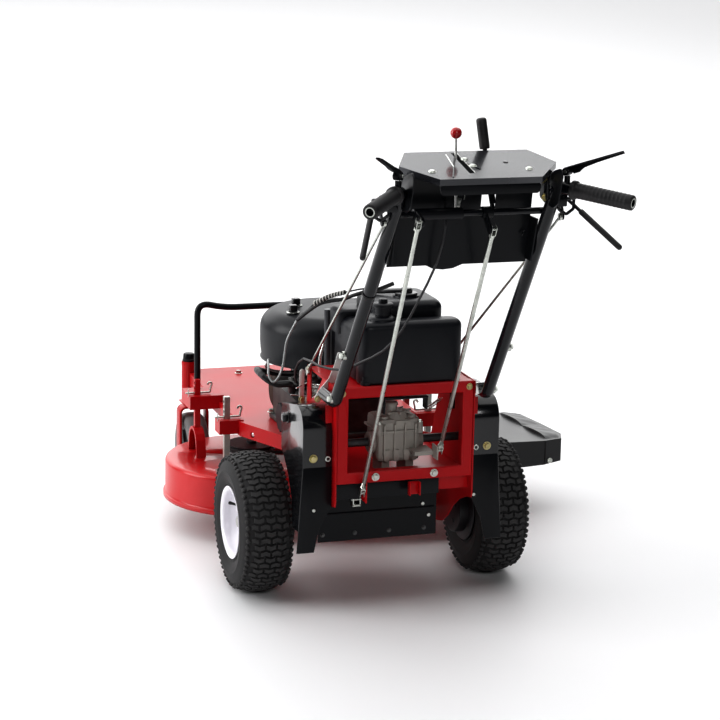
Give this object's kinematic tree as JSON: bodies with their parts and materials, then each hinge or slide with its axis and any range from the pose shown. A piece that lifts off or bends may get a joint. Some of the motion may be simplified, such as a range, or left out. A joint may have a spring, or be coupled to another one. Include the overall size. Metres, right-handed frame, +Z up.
{
  "type": "lawn mower",
  "caption": "Walk-behind commercial lawn mower with a floating side-discharge deck, vertical-shaft engine, window frame and upright twin-tube handle with a lever console.",
  "frame": {"origin": "middle of the bounding box's foot, on the ground", "axes": "+X to the operator's right, +Y forward in the direction of travel, +Z up"},
  "size_m": [1.022, 1.7246, 1.1399],
  "materials": {
    "bare_steel": "satin",
    "belt_rubber": "matte",
    "black_paint": "gloss",
    "black_plastic": "satin",
    "cast_aluminium": "cast",
    "dark_steel": "satin",
    "red_paint": "gloss",
    "rubber": "matte",
    "tyre_rubber": "matte",
    "white_paint": "gloss",
    "zinc_plate": "satin"
  },
  "bodies": {
    "chassis": {"rear_frame": "red_paint", "side_plate_left": "red_paint", "side_plate_right": "red_paint", "wheel_shield_left": "black_paint", "wheel_shield_right": "black_paint", "rear_guard": "black_paint", "carrier_frame": "red_paint", "guard_hoop": "black_paint", "axle": "bare_steel", "engine_block": "dark_steel", "engine_shroud": "black_plastic", "muffler": "dark_steel", "gearbox": "cast_aluminium", "fuel_tank": "black_plastic", "handle_frame": "black_paint", "grip_left": "rubber", "grip_right": "rubber", "console_plate": "black_paint", "console_panel": "black_paint", "throttle_cable": "rubber", "vent_hose": "rubber", "oil_hose": "rubber"},
    "drive_wheel_left": {"tyre_left": "tyre_rubber", "rim_left": "white_paint"},
    "drive_wheel_right": {"tyre_right": "tyre_rubber", "rim_right": "white_paint"},
    "caster_left": {"caster_fork_left": "red_paint"},
    "caster_roller_left": {"caster_wheel_left": "rubber"},
    "caster_right": {"caster_fork_right": "red_paint"},
    "caster_roller_right": {"caster_wheel_right": "rubber"},
    "deck": {"deck_shell": "red_paint", "deck_hanger_rear_left": "zinc_plate", "deck_hanger_rear_right": "zinc_plate", "deck_hanger_front_left": "red_paint", "deck_hanger_front_right": "red_paint", "spindle_belt": "belt_rubber"},
    "hitch_pin_rear_left_body": {"hitch_pin_rear_left": "zinc_plate"},
    "hitch_pin_rear_right_body": {"hitch_pin_rear_right": "zinc_plate"},
    "hitch_pin_front_left_body": {"hitch_pin_front_left": "zinc_plate"},
    "hitch_pin_front_right_body": {"hitch_pin_front_right": "zinc_plate"},
    "spindle_left_body": {"spindle_left": "dark_steel", "blade_left": "bare_steel"},
    "spindle_right_body": {"spindle_right": "dark_steel", "blade_right": "bare_steel"},
    "chute": {"chute_deflector": "black_plastic"},
    "knob_front": {"air_cleaner_knob_front": "black_plastic"},
    "knob_rear": {"air_cleaner_knob_rear": "black_plastic"},
    "cap": {"fuel_cap": "black_plastic"},
    "crank": {"engine_pulley": "dark_steel"},
    "output_shaft": {"gearbox_output_shaft": "dark_steel"},
    "blade_engage": {"blade_lever": "black_paint"},
    "rod_left": {"control_rod_left": "zinc_plate"},
    "gear_shift": {"shift_lever": "black_paint"},
    "rod_right": {"control_rod_right": "zinc_plate"},
    "drive_left": {"drive_lever_left": "black_paint"},
    "side_link_left": {"side_rod_left": "zinc_plate"},
    "presence_left": {"presence_lever_left": "black_paint"},
    "drive_right": {"drive_lever_right": "black_paint"},
    "side_link_right": {"side_rod_right": "zinc_plate"},
    "presence_right": {"presence_lever_right": "black_paint"}
  },
  "joints": [
    {"name": "wheel_left_spin", "type": "hinge", "parent": "chassis", "child": "drive_wheel_left", "pos_m": [-0.42204, -0.07218, 0.16012], "axis": [1, 0, 0], "continuous": true},
    {"name": "wheel_right_spin", "type": "hinge", "parent": "chassis", "child": "drive_wheel_right", "pos_m": [0.13996, -0.07218, 0.16012], "axis": [1, 0, 0], "continuous": true},
    {"name": "caster_left_swivel", "type": "hinge", "parent": "chassis", "child": "caster_left", "pos_m": [-0.36304, 0.80382, -0.00138], "axis": [0, 0, 1], "continuous": true},
    {"name": "caster_left_roll", "type": "hinge", "parent": "caster_left", "child": "caster_roller_left", "pos_m": [-0.36304, 0.76082, 0.10012], "axis": [1, 0, 0], "continuous": true},
    {"name": "caster_right_swivel", "type": "hinge", "parent": "chassis", "child": "caster_right", "pos_m": [0.08096, 0.80382, -0.00138], "axis": [0, 0, 1], "continuous": true},
    {"name": "caster_right_roll", "type": "hinge", "parent": "caster_right", "child": "caster_roller_right", "pos_m": [0.08096, 0.76082, 0.10012], "axis": [1, 0, 0], "continuous": true},
    {"name": "deck_float", "type": "slide", "parent": "chassis", "child": "deck", "axis": [0, 0, 1], "range_m": [0, 0.045]},
    {"name": "hitch_pin_rear_left_slide", "type": "slide", "parent": "deck", "child": "hitch_pin_rear_left_body", "axis": [1, 0, 0], "range_m": [0, 0.045]},
    {"name": "hitch_pin_rear_right_slide", "type": "slide", "parent": "deck", "child": "hitch_pin_rear_right_body", "axis": [-1, 0, 0], "range_m": [0, 0.045]},
    {"name": "hitch_pin_front_left_slide", "type": "slide", "parent": "deck", "child": "hitch_pin_front_left_body", "axis": [1, 0, 0], "range_m": [0, 0.045]},
    {"name": "hitch_pin_front_right_slide", "type": "slide", "parent": "deck", "child": "hitch_pin_front_right_body", "axis": [-1, 0, 0], "range_m": [0, 0.045]},
    {"name": "spindle_left_spin", "type": "hinge", "parent": "deck", "child": "spindle_left_body", "pos_m": [-0.29104, 0.43382, 0.16862], "axis": [0, 0, 1], "continuous": true},
    {"name": "spindle_right_spin", "type": "hinge", "parent": "deck", "child": "spindle_right_body", "pos_m": [0.10396, 0.34382, 0.16862], "axis": [0, 0, 1], "continuous": true},
    {"name": "chute_lift", "type": "hinge", "parent": "deck", "child": "chute", "pos_m": [0.32596, 0.28382, 0.19062], "axis": [0, -1, 0], "range_deg": [0, 80]},
    {"name": "knob_front_turn", "type": "hinge", "parent": "chassis", "child": "knob_front", "pos_m": [-0.24604, 0.20382, 0.61362], "axis": [0, 0, 1], "continuous": true},
    {"name": "knob_rear_turn", "type": "hinge", "parent": "chassis", "child": "knob_rear", "pos_m": [-0.27404, 0.12982, 0.61362], "axis": [0, 0, 1], "continuous": true},
    {"name": "fuel_cap_turn", "type": "hinge", "parent": "chassis", "child": "cap", "pos_m": [-0.10104, -0.17618, 0.69662], "axis": [0, 0, 1], "range_deg": [0, 90]},
    {"name": "crank_spin", "type": "hinge", "parent": "chassis", "child": "crank", "pos_m": [-0.17104, 0.17382, 0.23362], "axis": [0, 0, 1], "continuous": true},
    {"name": "output_spin", "type": "hinge", "parent": "chassis", "child": "output_shaft", "pos_m": [-0.14104, -0.23118, 0.37362], "axis": [1, 0, 0], "continuous": true},
    {"name": "blade_lever_tilt", "type": "hinge", "parent": "chassis", "child": "blade_engage", "pos_m": [-0.17104, -0.66818, 0.95662], "axis": [1, 0, 0], "range_deg": [0, 35]},
    {"name": "control_rod_left_slide", "type": "slide", "parent": "chassis", "child": "rod_left", "axis": [0, 0.5071, -0.8619], "range_m": [0, 0.028]},
    {"name": "shift_lever_tilt", "type": "hinge", "parent": "chassis", "child": "gear_shift", "pos_m": [-0.09104, -0.66818, 0.95662], "axis": [-1, 0, 0], "range_deg": [0, 20]},
    {"name": "control_rod_right_slide", "type": "slide", "parent": "chassis", "child": "rod_right", "axis": [0, -0.5589, 0.8292], "range_m": [0, 0.016]},
    {"name": "drive_lever_left_squeeze", "type": "hinge", "parent": "chassis", "child": "drive_left", "pos_m": [-0.34104, -0.67118, 0.98362], "axis": [-1, 0, 0], "range_deg": [0, 24], "stiffness_Nm_per_rad": 1.5, "springref_deg": -11.46},
    {"name": "side_rod_left_slide", "type": "slide", "parent": "chassis", "child": "side_link_left", "axis": [0, -0.8051, 0.5932], "range_m": [0, 0.018]},
    {"name": "presence_lever_left_press", "type": "hinge", "parent": "chassis", "child": "presence_left", "pos_m": [-0.31754, -0.74068, 1.04562], "axis": [0.7917, -0.6109, 0], "range_deg": [0, 30], "stiffness_Nm_per_rad": 0.6, "springref_deg": -17.19},
    {"name": "drive_lever_right_squeeze", "type": "hinge", "parent": "chassis", "child": "drive_right", "pos_m": [0.05896, -0.67118, 0.98362], "axis": [-1, 0, 0], "range_deg": [0, 24], "stiffness_Nm_per_rad": 1.5, "springref_deg": -11.46},
    {"name": "side_rod_right_slide", "type": "slide", "parent": "chassis", "child": "side_link_right", "axis": [0, -0.8051, 0.5932], "range_m": [0, 0.018]},
    {"name": "presence_lever_right_press", "type": "hinge", "parent": "chassis", "child": "presence_right", "pos_m": [0.03546, -0.74068, 1.04562], "axis": [0.7917, 0.6109, 0], "range_deg": [0, 30], "stiffness_Nm_per_rad": 0.6, "springref_deg": -17.19}
  ],
  "couplings": [
    {"joint": "spindle_right_spin", "follows": "spindle_left_spin", "ratio": 1},
    {"joint": "control_rod_left_slide", "follows": "blade_lever_tilt", "m_per_rad": 0.045},
    {"joint": "control_rod_right_slide", "follows": "shift_lever_tilt", "m_per_rad": 0.045},
    {"joint": "side_rod_left_slide", "follows": "drive_lever_left_squeeze", "m_per_rad": 0.042},
    {"joint": "side_rod_right_slide", "follows": "drive_lever_right_squeeze", "m_per_rad": 0.042}
  ]
}
